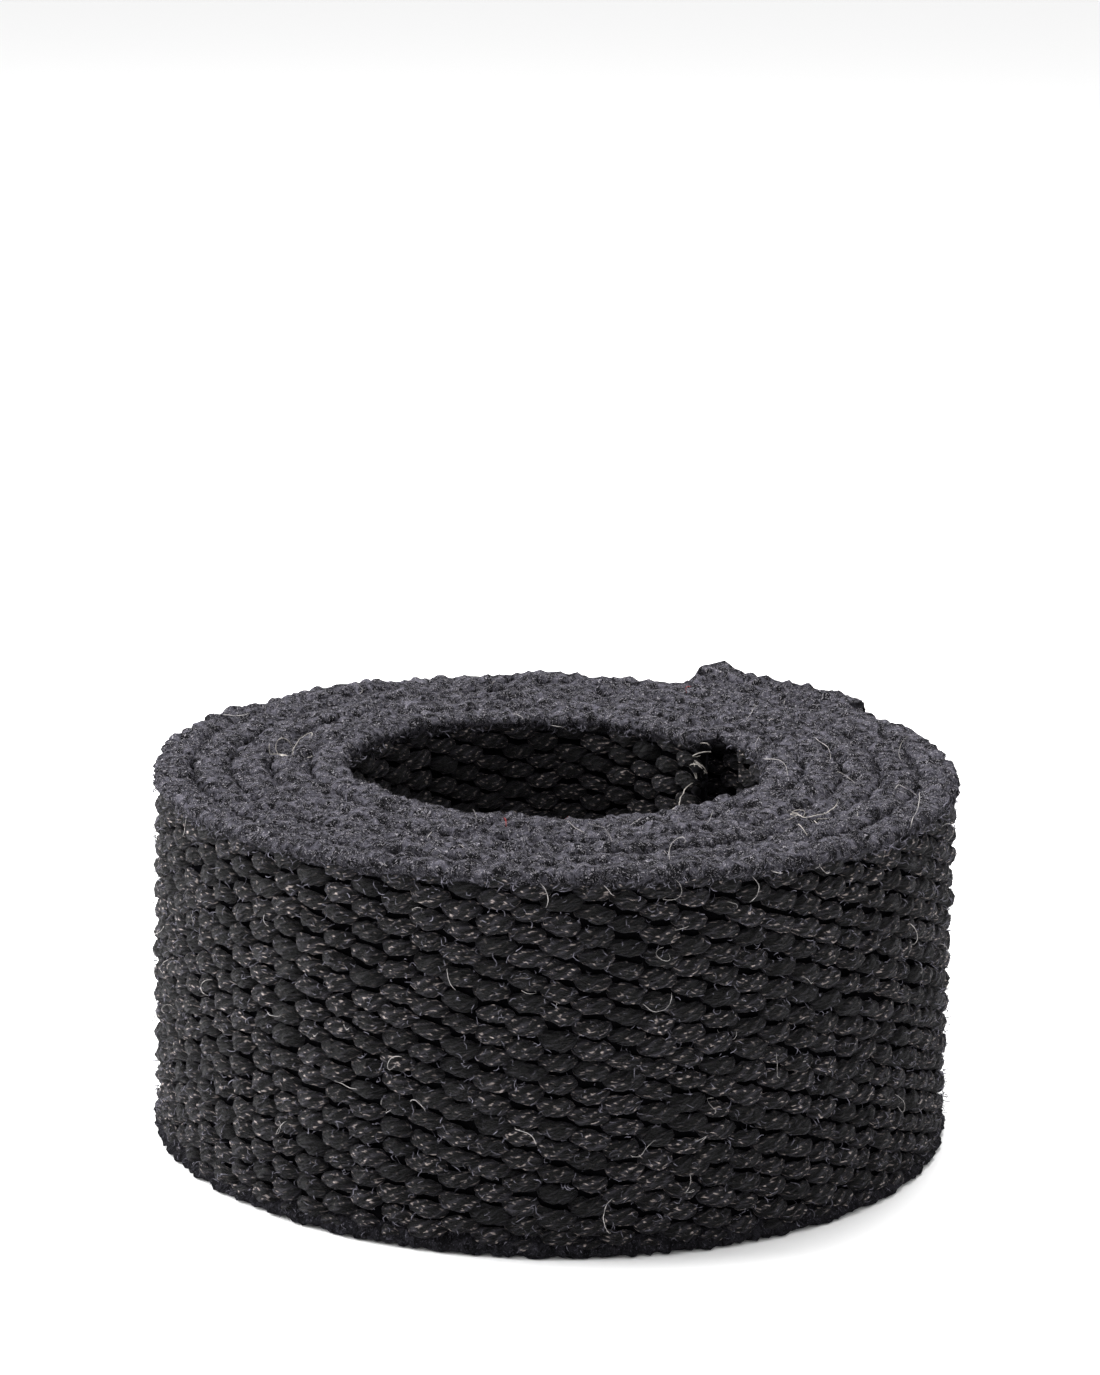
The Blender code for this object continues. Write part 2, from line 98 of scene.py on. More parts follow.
def compass(angle):
    """Unit vectors in plan at compass angles in degrees."""
    turn = np.radians(angle)
    return np.stack([np.sin(turn), np.cos(turn)], axis=-1)


def cross(a, b):
    return a[0] * b[1] - a[1] * b[0]


joint_place = {joint["name"]: np.array(joint["pos_m"]) for joint in frame["joints"]}
tail_hinge = joint_place["tail_peel"][:2]
anchor = joint_place["buckle_swing"][:2]
rays = compass(TAIL_ROOT_ANGLE), compass(ANCHOR_ANGLE)
root_radius = cross(tail_hinge - anchor, rays[1]) / cross(*rays)
roll_axis = tail_hinge - rays[0] * root_radius
loop_radius = np.linalg.norm(anchor - roll_axis) - root_radius + half_thickness
loop_radius -= pitch * (TAIL_ROOT_ANGLE - ANCHOR_ANGLE) / 360


def centre_radius(angle):
    """Radius of the webbing's middle at a compass angle."""
    return root_radius - half_thickness - pitch * (angle - TAIL_ROOT_ANGLE) / 360


def ease(value):
    value = np.clip(value, 0.0, 1.0)
    return value * value * (3 - 2 * value)


def wander(places, size, seed):
    """Smooth noise of a feature size at an array of places, from about -1 to 1."""
    shift = Vector((seed * 7.31, seed * 3.17, seed * 5.23))
    flat = np.asarray(places, float).reshape(-1, 3) / size
    values = [noise.noise(Vector(place) + shift) for place in flat]
    return np.array(values).reshape(np.shape(places)[:-1])


class Strip:
    """A stretch of webbing: its middle line in plan, its outward direction and its two edges.

    way is 1 where it runs to the right as seen from outside the roll, and -1 to the left.
    """

    def __init__(self, middle, outward, low, high, way):
        self.way = way
        steps = np.linalg.norm(np.diff(middle, axis=0), axis=1)
        self.run = np.concatenate([[0.0], np.cumsum(steps)])
        self.length = self.run[-1]
        self.facts = np.column_stack([middle, outward, low, high])

    def points(self, along, out, up):
        """Points at a distance along, outwards from the middle, and up a full-width strip."""
        along, out, up = np.broadcast_arrays(along, out, up)
        facts = [np.interp(along, self.run, fact) for fact in self.facts.T]
        x, y, out_x, out_y, low, high = facts
        longer = np.hypot(out_x, out_y)
        height = low + (high - low) * up / webbing_width
        return np.stack([x + out * out_x / longer, y + out * out_y / longer, height], axis=-1)


def spiral(first, last):
    """The rolled webbing between two compass angles."""
    angle = np.linspace(first, last, int(abs(last - first)) + 1)
    outward = compass(angle)
    middle = roll_axis + outward * centre_radius(angle)[:, None]
    edges = np.zeros_like(angle), np.full_like(angle, webbing_width)
    return Strip(middle, outward, *edges, -1)


def face_section(across, side):
    """Depth, height and outward direction of the webbing's rounded face, across from its middle.

    side is 1 for the face away from the roll's axis and -1 for the one towards it.
    """
    flat = webbing_width / 2 - EDGE_ROUND
    turn = np.clip((np.abs(across) - flat) / EDGE_ROUND, 0.0, MOST_TURN)
    way = np.sign(across)
    depth = side * (half_thickness - EDGE_ROUND + EDGE_ROUND * np.cos(turn))
    height = np.where(turn > 0, flat + EDGE_ROUND * np.sin(turn), np.abs(across)) * way
    return depth, height + webbing_width / 2, side * np.cos(turn), way * np.sin(turn)


def new_piece(name, points, faces, finish, charts=()):
    """A smooth mesh of points and faces, with charts of (name, a place for each face corner)."""
    mesh = bpy.data.meshes.new(name)
    mesh.from_pydata(points.tolist(), [], faces)
    for chart, places in charts:
        layer = mesh.uv_layers.new(name=chart)
        layer.uv.foreach_set("vector", np.asarray(places, np.float32).ravel())
    mesh.shade_smooth()
    mesh.materials.append(finish)
    mesh.validate()
    made = bpy.data.objects.new(name, mesh)
    bpy.context.scene.collection.objects.link(made)
    return made


def core_ring():
    """Places across the webbing and the sides they lie on, once round its section."""
    flat = webbing_width / 2 - EDGE_ROUND
    bend = EDGE_ROUND * math.pi / 2
    face = list(np.linspace(-flat + FACE_MARGIN, flat - FACE_MARGIN, 4))
    corner = [flat + bend * share for share in CORNER_SHARES]
    up_face = [-c for c in reversed(corner)] + face + corner
    ring = [(across, 1) for across in up_face] + [(-across, -1) for across in up_face]
    return np.array([r[0] for r in ring]), np.array([r[1] for r in ring])


def webbing_core(name, strip, finish, shade, seed):
    """The body of the webbing: flat faces sunk under the yarns, which take the second finish, a
    near-black painted shade, and lumpy felted edges.
    """
    across, side = core_ring()
    across, side = across[::strip.way], side[::strip.way]
    count = int(strip.length / STATION_SPACING) + 1
    along = np.linspace(0.0, strip.length, count)[:, None] + np.zeros_like(across)
    depth, height, out, up = (fact + np.zeros_like(along) for fact in face_section(across, side))
    edge = ease((np.abs(across) - webbing_width / 2 + FELT_START) / FELT_FADE)
    travel = -strip.way * along
    place = np.stack([travel, depth, height], axis=-1)
    picks = np.abs(np.cos(np.pi * (travel / PICK_SPACING + 0.5 * (across > 0)))) - PICK_LEVEL
    lumps = PICK_BULGE * picks + TUFT_HEIGHT * wander(place, TUFT_SIZE, seed)
    lumps += PIT_DEPTH * wander(place, PIT_SIZE, seed + 1)
    swell = edge * (lumps + EDGE_SWELL) - (1 - edge) * YARN_RECESS
    swell -= CUT_TAPER * (1 - ease((strip.length - along) / CUT_LENGTH))
    wave = EDGE_RISE + WAVE_HEIGHT * wander(place * (1, 0, 0), WAVE_SIZE, seed + 2)
    wave = wave * edge * (across > 0)
    points = strip.points(along, depth + swell * out, height + swell * up + wave)
    points[..., 2] = np.maximum(points[..., 2], 0.0)
    sides = len(across)
    index = np.arange(count * sides).reshape(count, sides)
    after = np.roll(index, -1, axis=1)
    quads = np.stack([index[:-1], index[1:], after[1:], after[:-1]], axis=-1).reshape(-1, 4)
    section = np.stack([depth[0], height[0]], axis=-1)
    gaps = np.linalg.norm(np.roll(section, -1, axis=0) - section, axis=-1)
    around = np.concatenate([[0.0], np.cumsum(gaps)])
    around -= (around[sides // 2 - 1] + around[sides // 2]) / 2
    near, far = along[:-1, :1] + 0 * around[:-1], along[1:, :1] + 0 * around[:-1]
    left, right = around[:-1] + 0 * near, around[1:] + 0 * near
    corners = [(near, left), (far, left), (far, right), (near, right)]
    places = np.stack([np.stack(corner, axis=-1) for corner in corners], axis=2).reshape(-1, 2)
    ends = [index[0].tolist(), index[-1][::-1].tolist()]
    places = np.concatenate([places, section, section[::-1]])
    faces = quads.tolist() + ends
    core = new_piece(name, points.reshape(-1, 3), faces, finish, [("cloth", places)])
    core.data.materials.append(shade)
    # Faces sunk under the yarns take the second finish, a near-black painted shade.
    sunk = np.maximum(edge, np.roll(edge, -1)) < SUNK_SHARE
    slots = np.concatenate([np.tile(sunk, count - 1), [False, False]])
    core.data.polygons.foreach_set("material_index", slots.astype(np.int32))
    return core


class Wire:
    """A socket in a material's nodes. Arithmetic on it adds Math nodes; node() adds any other."""

    def __init__(self, tree, socket=None):
        self.tree = tree
        self.socket = socket

    def node(self, kind, settings, inputs, output=0):
        made = self.tree.nodes.new("ShaderNode" + kind)
        for setting, value in settings.items():
            if setting == "stops":
                stops = made.color_ramp.elements
                while len(stops) < len(value):
                    stops.new(1.0)
                for stop, (position, shade) in zip(stops, value):
                    stop.position = position
                    stop.color = (shade, shade, shade, 1.0)
            else:
                setattr(made, setting, value)
        for key, value in inputs.items():
            if isinstance(value, Wire):
                self.tree.links.new(value.socket, made.inputs[key])
            else:
                made.inputs[key].default_value = value
        return Wire(self.tree, made.outputs[output] if made.outputs else None)

    def maths(self, operation, first, second=0.0):
        return self.node("Math", {"operation": operation}, {0: first, 1: second})

    def __add__(self, other):
        return self.maths("ADD", self, other)

    def __radd__(self, other):
        return self.maths("ADD", other, self)

    def __sub__(self, other):
        return self.maths("SUBTRACT", self, other)

    def __rsub__(self, other):
        return self.maths("SUBTRACT", other, self)

    def __mul__(self, other):
        return self.maths("MULTIPLY", self, other)

    def __rmul__(self, other):
        return self.maths("MULTIPLY", other, self)

    def mix(self, factor, first, second):
        """A colour between two, by a factor from 0 to 1."""
        return self.node("Mix", {"data_type": "RGBA"}, {0: factor, 6: first, 7: second}, 2)

    def noise(self, place, scale, detail=2.0, rough=0.5, twist=0.0):
        inputs = {"Vector": place, "Scale": scale, "Detail": detail}
        inputs.update({"Roughness": rough, "Distortion": twist})
        return self.node("TexNoise", {}, inputs)

    def band(self, value, low, high):
        """0 below low, 1 above high and a straight slope between."""
        return self.node("MapRange", {}, {"Value": value, "From Min": low, "From Max": high})

    def chart(self, name, turn=0.0, scale=(1.0, 1.0, 1.0)):
        """The places of a chart, turned in its plane and scaled."""
        place = self.node("UVMap", {"uv_map": name}, {})
        inputs = {"Vector": place, "Rotation": (0.0, 0.0, turn), "Scale": scale}
        return self.node("Mapping", {}, inputs)

    def bump(self, height, depth, under=None):
        inputs = {"Height": height, "Distance": depth, "Strength": 1.0}
        if under:
            inputs["Normal"] = under
        return self.node("Bump", {}, inputs)

    def surface(self, **inputs):
        """A Principled shader on the material's output; names are in_this_form."""
        named = {}
        for key, value in inputs.items():
            named[key.replace("_", " ").title().replace("Ior", "IOR")] = value
        shader = self.node("BsdfPrincipled", {}, named)
        self.node("OutputMaterial", {}, {"Surface": shader})


def new_finish(name):
    """An empty material and the wire that its nodes grow from."""
    finish = bpy.data.materials.new(name)
    finish.use_nodes = True
    finish.node_tree.nodes.clear()
    return finish, Wire(finish.node_tree)


def grey(value, green=0.96, blue=1.17):
    """A dyed cotton grey, a little violet."""
    return (value, value * green, value * blue, 1.0)


def felted_cotton(name):
    """Dark cotton rubbed to felt, paler where the nap stands up and near black in the pits
    between its lumps as painted shade, with painted top light: paler on the crown of the edge and
    darker down its sides.
    """
    finish, wire = new_finish(name)
    cloth = wire.chart("cloth", 0.0, METRES_TO_MM)
    clumps = wire.noise(cloth, 0.85, 2.0, 0.60, 0.6)
    fibres = wire.noise(cloth, 2.2, 3.0, 0.80, 2.2)
    nap = wire.band(clumps * 0.6 + fibres * 0.4, 0.45, 0.61)
    flecks = wire.band(wire.noise(cloth, 2.6, 1.0, 0.5, 2.5), 0.59, 0.69)
    worn = wire.band(wire.noise(cloth, 0.24, 2.0, 0.6), 0.36, 0.60)
    across = wire.node("SeparateXYZ", {}, {0: cloth}, 1)
    # Painted top light: the felt and its pale flecks are painted paler on the crown of the edge
    # and darker down its sides and underneath.
    crown = wire.band(wire.maths("ABSOLUTE", across), 4.6, 1.6)
    nap_lit_on_crown = wire.mix(crown * (0.45 + 0.55 * worn), grey(0.024), grey(0.150))
    lint = wire.mix(crown, grey(0.080), (0.42, 0.40, 0.43, 1.0))
    # Painted shade: where the nap noise is low, in the pits between the felt's lumps, the felt is
    # painted near black.
    colour = wire.mix(flecks * 0.9, wire.mix(nap, grey(0.0008), nap_lit_on_crown), lint)
    lumps = wire.bump(clumps, 0.0022)
    normal = wire.bump(fibres, 0.0016, lumps)
    wire.surface(
        base_color=colour,
        roughness=1.0,
        specular_ior_level=0.05,
        sheen_weight=0.04,
        sheen_roughness=0.5,
        sheen_tint=grey(0.6),
        normal=normal,
    )
    return finish


def painted_shade_cotton(name):
    """Near-black painted shade for the weft deep between the warp yarns, which light hardly
    reaches.
    """
    finish, wire = new_finish(name)
    cloth = wire.chart("cloth", 0.0, METRES_TO_MM)
    picks = wire.noise(cloth, 1.1, 3.0, 0.6)
    wire.surface(
        base_color=wire.mix(picks, grey(0.0004), grey(0.0030)),
        roughness=1.0,
        specular_ior_level=0.0,
        normal=wire.bump(picks, 0.0006),
    )
    return finish


roll_strip = spiral(TAIL_ROOT_ANGLE, INNER_END_ANGLE)
felt = felted_cotton("felted_cotton_edges")
# The weft deep between the yarns is painted near black, as shade.
weft_shade_finish = painted_shade_cotton("weft_painted_shade")
roll_core = webbing_core("webbing_roll_core", roll_strip, felt, weft_shade_finish, 1)
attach(roll_core, "roll")
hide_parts("strap_roll")

# The warp yarns of the roll.
# The warp is soft two-ply cotton, spun fat. Each yarn shows as plump floats laid like bricks,
# which dive between their neighbours, with dark gaps above and below, where the weft under them
# is painted near black as shade.
ROWS = 34
FLOAT_LENGTH = 0.0059
FLOAT_WIDTH = 0.00256
FLOAT_DEPTH = 0.0019
FLOAT_DIVE = 0.0010
FLOAT_LEAN = -0.10
FLOAT_WOBBLE = 0.00012
PLY_PITCH = 0.0026
PLY_BULGE = 0.09
YARN_TWIST = -36.0
TIP_POINT, TIP_ROUND = 2.5, 0.55
COLUMN_SPREAD = 0.00022
ROW_SPREAD = 0.00010
LEAN_SPREAD = 0.06
LIFT, LIFT_SPREAD = -0.00005, 0.00013
YARN_ROUGHNESS = 0.00008
END_MARGIN = 0.0003
FLOATS_PAST_TURN = 0.004
BARE_END = 0.002
RINGS = 8
SIDES = 8
CHART_HALF = 0.46

row_pitch = webbing_width / ROWS


def spindle_faces(count):
    """Faces of closed spindles of RINGS rings and two tips, quads first, then the caps."""
    ring, spoke = np.meshgrid(np.arange(RINGS - 1), np.arange(SIDES), indexing="ij")
    after = (spoke + 1) % SIDES
    corners = [ring * SIDES + spoke, (ring + 1) * SIDES + spoke]
    corners += [(ring + 1) * SIDES + after, ring * SIDES + after]
    quads = np.stack(corners, axis=-1).reshape(-1, 4)
    spoke = np.arange(SIDES)
    after = (spoke + 1) % SIDES
    last = (RINGS - 1) * SIDES
    near = np.stack([spoke, after, np.full(SIDES, RINGS * SIDES)], axis=-1)
    far = np.stack([last + after, last + spoke, np.full(SIDES, RINGS * SIDES + 1)], axis=-1)
    base = (np.arange(count) * (RINGS * SIDES + 2))[:, None, None]
    caps = np.concatenate([near, far]) + base
    return (quads + base).reshape(-1, 4).tolist() + caps.reshape(-1, 3).tolist()


def in_cells(places, count):
    """Puts each piece's own square chart in its cell of one big square."""
    side = math.ceil(math.sqrt(count))
    cell = np.arange(count)
    corner = np.stack([cell % side, cell // side], axis=-1)
    corner = corner.reshape(count, *([1] * (places.ndim - 1)), 2)
    return ((places[None] + corner) / side).reshape(-1, 2)


def spindle_charts(shape, rng):
    """Where the twist lies on each spindle, each one's own tone, and where each is baked."""
    count = len(shape["length"])
    half = shape["length"][:, None, None] / 2
    share = np.linspace(-1.0, 1.0, RINGS + 2)[:, None]
    wide = np.linspace(-1.0, 1.0, SIDES + 1)
    spare = rng.uniform(0.0, 0.2, (count, 2))
    girth = FLOAT_WIDTH * 1.5 * wide
    grid = np.stack(np.broadcast_arrays(half * share, girth), axis=-1)
    grid = grid + spare[:, None, None, :]
    square = np.broadcast_arrays(0.5 + CHART_HALF * share, 0.5 + CHART_HALF * wide)
    square = np.stack(square, axis=-1)
    ring, spoke = np.meshgrid(np.arange(1, RINGS), np.arange(SIDES), indexing="ij")
    corners = [(ring, spoke), (ring + 1, spoke), (ring + 1, spoke + 1), (ring, spoke + 1)]
    body = np.stack([grid[:, r, s] for r, s in corners], axis=3).reshape(count, -1, 2)
    square_body = np.stack([square[r, s] for r, s in corners], axis=2).reshape(-1, 2)
    spoke = np.arange(SIDES)
    one, last = np.ones_like(spoke), np.full_like(spoke, RINGS)
    near = [(one, spoke), (one, spoke + 1), (0 * one, spoke)]
    far = [(last, spoke + 1), (last, spoke), (last + 1, spoke)]
    caps, square_caps = [], []
    for cap in (near, far):
        caps.append(np.stack([grid[:, r, s] for r, s in cap], axis=2).reshape(count, -1, 2))
        square_cap = np.stack([square[r, s] for r, s in cap], axis=1)
        square_cap[:, 2, 1] = square_cap[:, :2, 1].mean(axis=1)
        square_caps.append(square_cap.reshape(-1, 2))
    places = np.concatenate([body.reshape(-1, 2), np.concatenate(caps, axis=1).reshape(-1, 2)])
    tone = np.repeat(shape["tone"], body.shape[1])
    tone = np.concatenate([tone, np.repeat(shape["tone"], 2 * SIDES * 3)])
    square_caps = np.concatenate(square_caps)
    baked = np.concatenate([in_cells(square_body, count), in_cells(square_caps, count)])
    return [("yarn", places), ("tone", np.stack([tone, tone], axis=-1)), ("OFBake", baked)]


def spindles(name, strip, side, along, across, shape, rough, finish, rng):
    """Plump spindles of twisted yarn lying on a face of the webbing, joined in one piece."""
    one = {key: value[:, None, None] for key, value in shape.items()}
    share = np.linspace(-1.0, 1.0, RINGS + 2)[:, None]
    turn = np.arange(SIDES) * 2 * math.pi / SIDES
    full = np.maximum(1 - np.abs(share) ** TIP_POINT, 0.0) ** TIP_ROUND
    x = share * one["length"] / 2
    plies = 1 + PLY_BULGE * np.cos(2 * turn - 2 * math.pi * x / PLY_PITCH + one["turn"])
    swell = full * plies
    y = swell * one["width"] / 2 * np.sin(turn)
    y = y + FLOAT_WOBBLE * np.sin(3 * share + one["turn"])
    rise = one["lift"] - one["depth"] / 2 - one["dive"] * share ** 2
    rise = rise + swell * one["depth"] / 2 * np.cos(turn)
    screen = x * np.cos(one["lean"]) - y * np.sin(one["lean"])
    up = x * np.sin(one["lean"]) + y * np.cos(one["lean"])
    depth, level, out, over = face_section(across[:, None, None] + up, side)
    place = along[:, None, None] + strip.way * side * screen
    place = np.clip(place, END_MARGIN, strip.length - END_MARGIN)
    points = strip.points(place, depth + rise * out, level + rise * over)
    points = points + rng.normal(0.0, rough, points.shape) * (swell > 0)[..., None]
    body = points[:, 1:-1].reshape(len(along), -1, 3)
    points = np.concatenate([body, points[:, :1, 0], points[:, -1:, 0]], axis=1)
    charts = spindle_charts(shape, rng)
    return new_piece(name, points.reshape(-1, 3), spindle_faces(len(along)), finish, charts)


def warp_floats(name, strip, side, start, stop, finish, seed):
    """The floats of one face of the webbing between two distances along a strip."""
    rng = np.random.default_rng(seed)
    first = math.ceil(start / PICK_SPACING - 0.5)
    columns = range(first, math.floor(stop / PICK_SPACING - 0.5) + 1)
    odd = int(strip.way > 0)
    cells = [(column, row) for column in columns for row in range(ROWS)]
    column, row = np.array([cell for cell in cells if sum(cell) % 2 == odd], float).T
    count = len(column)
    along = (column + 0.5) * PICK_SPACING + rng.normal(0.0, COLUMN_SPREAD, count)
    across = (row - (ROWS - 1) / 2) * row_pitch + rng.normal(0.0, ROW_SPREAD, count)
    shape = {
        "length": FLOAT_LENGTH * rng.uniform(0.88, 1.10, count),
        "width": FLOAT_WIDTH * rng.uniform(0.86, 1.10, count),
        "depth": FLOAT_DEPTH * rng.uniform(0.85, 1.10, count),
        "dive": FLOAT_DIVE * rng.uniform(0.8, 1.2, count),
        "lean": FLOAT_LEAN + rng.normal(0.0, LEAN_SPREAD, count),
        "lift": rng.normal(LIFT, LIFT_SPREAD, count),
        "turn": rng.uniform(0.0, 2 * math.pi, count),
        "tone": rng.uniform(0.0, 1.0, count),
    }
    return spindles(name, strip, side, along, across, shape, YARN_ROUGHNESS, finish, rng)


def yarn_cotton(name):
    """Two-ply cotton yarn dyed near black, darker in the grooves between its plies as painted
    shade, with pale specks painted on the crests of the plies as glints.
    """
    finish, wire = new_finish(name)
    turn = math.radians(YARN_TWIST)
    plies = wire.chart("yarn", turn, METRES_TO_MM)
    strokes = wire.node(
        "TexWave",
        {"bands_direction": "Y"},
        {"Vector": plies, "Scale": 0.27, "Distortion": 2.2, "Detail": 2.0, "Detail Scale": 1.4},
        1,
    )
    threads = wire.chart("yarn", turn, (900.0, 4200.0, 1000.0))
    fibres = wire.noise(threads, 1.0, 3.0, 0.7, 0.5)
    specks = wire.noise(wire.chart("yarn", turn, (1300.0, 2500.0, 1000.0)), 1.0, 1.0, 0.5)
    # Painted highlights: pale glints are painted into the colour on the crests of the plies.
    glint = wire.band(specks, 0.58, 0.69) * wire.band(strokes, 0.2, 0.7)
    tone = wire.node("SeparateXYZ", {}, {0: wire.chart("tone")})
    # Painted shade: the ply strokes darken the colour in the grooves between the plies and
    # lighten their crests; the fibres and each yarn's own tone vary the dye.
    shade = strokes * 0.45 + fibres * 0.55 + tone * 0.30
    dyed = wire.mix(wire.band(shade, 0.62, 1.12), grey(0.0003, 0.9, 1.1), grey(0.034, 0.93, 1.14))
    pale = glint * wire.band(tone, 0.0, 0.7)
    colour = wire.mix(pale, dyed, (0.42, 0.36, 0.34, 1.0))
    ridges = wire.bump(strokes, 0.0009)
    normal = wire.bump(fibres, 0.0007, ridges)
    wire.surface(
        base_color=colour,
        roughness=0.8,
        specular_ior_level=0.2,
        sheen_weight=0.07,
        sheen_roughness=0.25,
        sheen_tint=grey(0.7),
        normal=normal,
    )
    return finish


yarn = yarn_cotton("two_ply_cotton")
turn_length = roll_strip.run[360]
outer_stop = turn_length + FLOATS_PAST_TURN
outer_yarns = warp_floats("roll_outer_yarns", roll_strip, 1, 0.0, outer_stop, yarn, 11)
hollow_start = roll_strip.run[int(INNER_END_ANGLE - 360 - TAIL_ROOT_ANGLE)] - FLOATS_PAST_TURN
hollow_stop = roll_strip.length - BARE_END
hollow_yarns = warp_floats(
    "roll_hollow_yarns", roll_strip, -1, hollow_start, hollow_stop, yarn, 12
)
for piece in (outer_yarns, hollow_yarns):
    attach(piece, "roll")

# The inner raw end of the roll.
# The webbing was cut across and never sealed, so its warp yarns stick out as blunt stubs. The
# pale thread that once bound the cut has worked loose and hangs in the hollow in curls.
STUB_RADIUS = 0.00055
STUB_LENGTH = 0.0014
STUB_LEAST = 0.0008
STUB_ROOT, STUB_BACK = 0.0008, 0.0018
STUB_LAYER = 0.55
STUB_SPREAD = 0.0002
STUB_STRAY = 0.00022
STUB_CURL, STUB_WAVER = 0.5, 0.5
BINDING_RADIUS = 0.00007
BINDING_HEIGHTS = (0.66, 0.98)
BINDING_LENGTHS = (0.007, 0.016)
BINDING_CURL, BINDING_WAVER = 4.2, 4.0
BINDING_ROOT, BINDING_BACK = 0.0012, 0.004
BINDING_INNER, BINDING_OUTER = 0.6, 0.4
BINDING_TILT = (-0.001, 0.002)
LOOSE_ENDS = 9
TIP_SHARE = 0.25
OFF_ANY_FIBRE = (0.31, 0.23, 0.92)
CHART_LONG, CHART_WIDE = (0.12, 0.88), (0.04, 0.96)
CAP_CHART = 0.035
NEAR_CAP, FAR_CAP = (0.05, 0.5), (0.95, 0.5)


def tubes(name, paths, radii, sides, finish):
    """Closed tubes that follow paths (tube, step, xyz), thinning to a point at the far end."""
    count, steps, _ = paths.shape
    ahead = np.gradient(paths, axis=1)
    ahead /= np.linalg.norm(ahead, axis=-1, keepdims=True) + 1e-12
    aside = np.cross(ahead, OFF_ANY_FIBRE)
    aside /= np.linalg.norm(aside, axis=-1, keepdims=True) + 1e-12
    over = np.cross(ahead, aside)
    turn = np.arange(sides) * 2 * math.pi / sides
    taper = np.ones(steps)
    taper[-1] = TIP_SHARE
    wide = np.asarray(radii)[:, None, None, None] * taper[None, :, None, None]
    spoke = aside[:, :, None] * np.cos(turn)[:, None] + over[:, :, None] * np.sin(turn)[:, None]
    points = (paths[:, :, None] + spoke * wide).reshape(-1, 3)
    ring, spoke = np.meshgrid(np.arange(steps - 1), np.arange(sides), indexing="ij")
    after = (spoke + 1) % sides
    corners = [ring * sides + spoke, ring * sides + after]
    corners += [(ring + 1) * sides + after, (ring + 1) * sides + spoke]
    quads = np.stack(corners, axis=-1).reshape(-1, 4)
    base = np.arange(count) * steps * sides
    near = np.arange(sides)[::-1] + base[:, None]
    far = np.arange(sides) + (steps - 1) * sides + base[:, None]
    faces = (quads + base[:, None, None]).reshape(-1, 4).tolist() + near.tolist() + far.tolist()
    rows, columns = np.linspace(*CHART_LONG, steps)[:, None], np.linspace(*CHART_WIDE, sides + 1)
    square = np.stack(np.broadcast_arrays(rows, columns), axis=-1)
    corners = [(ring, spoke), (ring, spoke + 1), (ring + 1, spoke + 1), (ring + 1, spoke)]
    body = np.stack([square[r, s] for r, s in corners], axis=2).reshape(-1, 2)
    disc = CAP_CHART * np.stack([np.cos(turn), np.sin(turn)], axis=-1)
    ends = [in_cells(disc[::-1] + NEAR_CAP, count), in_cells(disc + FAR_CAP, count)]
    baked = np.concatenate([in_cells(body, count), *ends])
    return new_piece(name, points, faces, finish, [("OFBake", baked)])


def curls(roots, ways, lengths, steps, bend, waver, rng):
    """Paths that leave their roots in their own ways and curl as they go."""
    count = len(roots)
    way = ways / np.linalg.norm(ways, axis=-1, keepdims=True)
    axis = rng.normal(size=(count, 3))
    paths = [roots]
    for _ in range(steps - 1):
        way = way + np.cross(axis, way) * bend / steps
        way = way + rng.normal(0.0, waver / steps, (count, 3))
        way /= np.linalg.norm(way, axis=-1, keepdims=True)
        paths.append(paths[-1] + way * (lengths / (steps - 1))[:, None])
    return np.stack(paths, axis=1)


def loose_cotton(name, base, tip):
    """Unspun cotton fibre of a colour between two."""
    finish, wire = new_finish(name)
    place = wire.node("NewGeometry", {}, {})
    mottle = wire.noise(place, 900.0, 2.0, 0.6)
    wire.surface(
        base_color=wire.mix(wire.band(mottle, 0.35, 0.65), base, tip),
        roughness=0.9,
        specular_ior_level=0.2,
    )
    return finish


def stubs(name, strip, seed):
    """The cut ends of the warp yarns at the far end of a strip."""
    rng = np.random.default_rng(seed)
    cells = [(row, layer) for row in range(ROWS // 2) for layer in (-1.0, 0.0, 1.0)]
    row, layer = np.array(cells).T
    up = (row * 2 + 1.0 + rng.normal(0.0, 0.3, len(row))) * row_pitch
    out = layer * half_thickness * STUB_LAYER + rng.normal(0.0, STUB_SPREAD, len(row))
    roots = strip.points(strip.length - STUB_ROOT, out, up)
    back = strip.points(strip.length - STUB_BACK, out, up)
    lengths = STUB_LEAST + STUB_LENGTH * rng.uniform(0.2, 1.1, len(row))
    ways = roots - back + rng.normal(0.0, STUB_STRAY, roots.shape)
    paths = curls(roots, ways, lengths, 5, STUB_CURL, STUB_WAVER, rng)
    return tubes(name, paths, STUB_RADIUS * rng.uniform(0.8, 1.25, len(row)), 6, felt)


inner_stubs = stubs("inner_end_cut_yarns", roll_strip, 21)
pale = loose_cotton("pale_binding_thread", (0.16, 0.15, 0.14, 1.0), (0.42, 0.39, 0.36, 1.0))
rng = np.random.default_rng(22)
heights = webbing_width * rng.uniform(*BINDING_HEIGHTS, LOOSE_ENDS)
inner, outer = -half_thickness * BINDING_INNER, half_thickness * BINDING_OUTER
roots = roll_strip.points(roll_strip.length - BINDING_ROOT, inner, heights)
ways = roots - roll_strip.points(roll_strip.length - BINDING_BACK, outer, heights)
ways[:, 2] += rng.uniform(*BINDING_TILT, LOOSE_ENDS)
lengths = rng.uniform(*BINDING_LENGTHS, LOOSE_ENDS)
paths = curls(roots, ways, lengths, 20, BINDING_CURL, BINDING_WAVER, rng)
binding = tubes("inner_end_loose_threads", paths, np.full(LOOSE_ENDS, BINDING_RADIUS), 5, pale)
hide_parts("inner_end_overcast")
for piece in (inner_stubs, binding):
    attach(piece, "roll")

